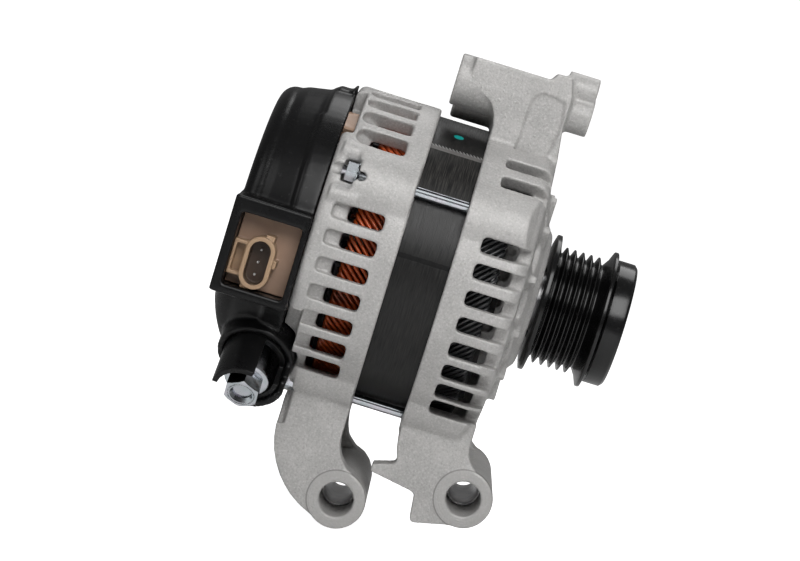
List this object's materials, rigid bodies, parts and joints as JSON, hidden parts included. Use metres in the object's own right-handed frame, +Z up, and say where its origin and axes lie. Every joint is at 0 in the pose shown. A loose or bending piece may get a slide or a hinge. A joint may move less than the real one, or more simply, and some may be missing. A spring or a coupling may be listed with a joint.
{
  "type": "car alternator",
  "caption": "Car alternator: cast aluminium end brackets with mounting ears, claw-pole rotor, overrunning ribbed pulley, black rear cover with side plug and shrouded charging stud.",
  "frame": {"origin": "on the shaft axis, in the belt's centre plane", "axes": "+X along the shaft out of the pulley, +Z up towards the long boss, -Y towards the plug"},
  "size_m": [0.171, 0.1331, 0.2106],
  "materials": {
    "cast_aluminium": "die cast, fine blasted grain, light grey",
    "black_laminations": "black varnished laminations, satin",
    "copper": "enamelled copper, orange-brown",
    "zinc_plate": "bright zinc plating with a blue tint",
    "ground_steel": "ground and machined steel",
    "bearing_brass": "pressed brass",
    "forged_steel": "dark forged and pressed steel",
    "heat_sink": "sawn aluminium plate",
    "black_plastic": "black moulded nylon with a soft gloss",
    "brown_plastic": "brown moulded plastic, matt",
    "black_pulley": "black coated steel, glossy",
    "carbon": "copper-graphite, matt dark grey"
  },
  "bodies": {
    "housing": {"front_bracket": "cast_aluminium", "rear_bracket": "cast_aluminium", "front_ear_bushing": "ground_steel", "rear_ear_bushing": "ground_steel", "stator_core": "black_laminations", "stator_conductors": "copper", "front_winding": "copper", "rear_winding": "copper", "through_studs": "zinc_plate", "through_nuts": "zinc_plate", "front_bearing_outer": "ground_steel", "rear_bearing_outer": "ground_steel", "bearing_seals": "black_plastic", "bearing_retainer": "ground_steel", "retainer_screws": "zinc_plate", "negative_plate": "heat_sink", "positive_plate": "heat_sink", "negative_diodes": "copper", "positive_diodes": "copper", "terminal_block": "brown_plastic", "phase_leads": "copper", "voltage_regulator": "black_plastic", "connector_housing": "brown_plastic", "connector_pins": "ground_steel", "brush_holder": "black_plastic", "inner_spring": "ground_steel", "outer_spring": "ground_steel", "rear_cover": "black_plastic", "cover_studs": "zinc_plate", "cover_nuts": "zinc_plate", "charge_collar": "black_plastic", "charge_stud": "zinc_plate", "charge_strap": "copper", "charge_nut": "zinc_plate"},
    "rotor": {"rotor_shaft": "ground_steel", "front_claw_pole": "forged_steel", "rear_claw_pole": "forged_steel", "field_coil": "copper", "coil_bobbin": "black_plastic", "front_fan": "forged_steel", "rear_fan": "forged_steel", "slip_ring_sleeve": "black_plastic", "slip_rings": "copper", "front_spacer": "ground_steel", "front_bearing_inner": "ground_steel", "rear_bearing_inner": "ground_steel", "pulley_hub": "ground_steel"},
    "pulley": {"pulley_rim": "black_pulley", "clutch_rollers": "ground_steel", "pulley_bearings": "ground_steel", "dust_cap": "black_pulley"},
    "front_ball_set": {"front_bearing_balls": "ground_steel", "front_bearing_cage": "bearing_brass"},
    "rear_ball_set": {"rear_bearing_balls": "ground_steel", "rear_bearing_cage": "bearing_brass"},
    "inner_brush": {"inner_brush": "carbon"},
    "outer_brush": {"outer_brush": "carbon"}
  },
  "joints": [
    {"name": "rotor_spin", "type": "hinge", "parent": "housing", "child": "rotor", "pos_m": [0, 0, 0], "axis": [1, 0, 0], "continuous": true},
    {"name": "pulley_overrun", "type": "hinge", "parent": "rotor", "child": "pulley", "pos_m": [0, 0, 0], "axis": [1, 0, 0], "continuous": true},
    {"name": "front_ball_roll", "type": "hinge", "parent": "housing", "child": "front_ball_set", "pos_m": [0, 0, 0], "axis": [1, 0, 0], "continuous": true},
    {"name": "rear_ball_roll", "type": "hinge", "parent": "housing", "child": "rear_ball_set", "pos_m": [0, 0, 0], "axis": [1, 0, 0], "continuous": true},
    {"name": "inner_brush_slide", "type": "slide", "parent": "housing", "child": "inner_brush", "axis": [0, 0, 1], "range_m": [0, 0.003], "stiffness_N_per_m": 300, "springref_m": -0.01, "deforming": ["inner_spring"]},
    {"name": "outer_brush_slide", "type": "slide", "parent": "housing", "child": "outer_brush", "axis": [0, 0, 1], "range_m": [0, 0.003], "stiffness_N_per_m": 300, "springref_m": -0.01, "deforming": ["outer_spring"]}
  ],
  "couplings": [
    {"joint": "front_ball_roll", "follows": "rotor_spin", "ratio": 0.378},
    {"joint": "rear_ball_roll", "follows": "rotor_spin", "ratio": 0.38}
  ]
}
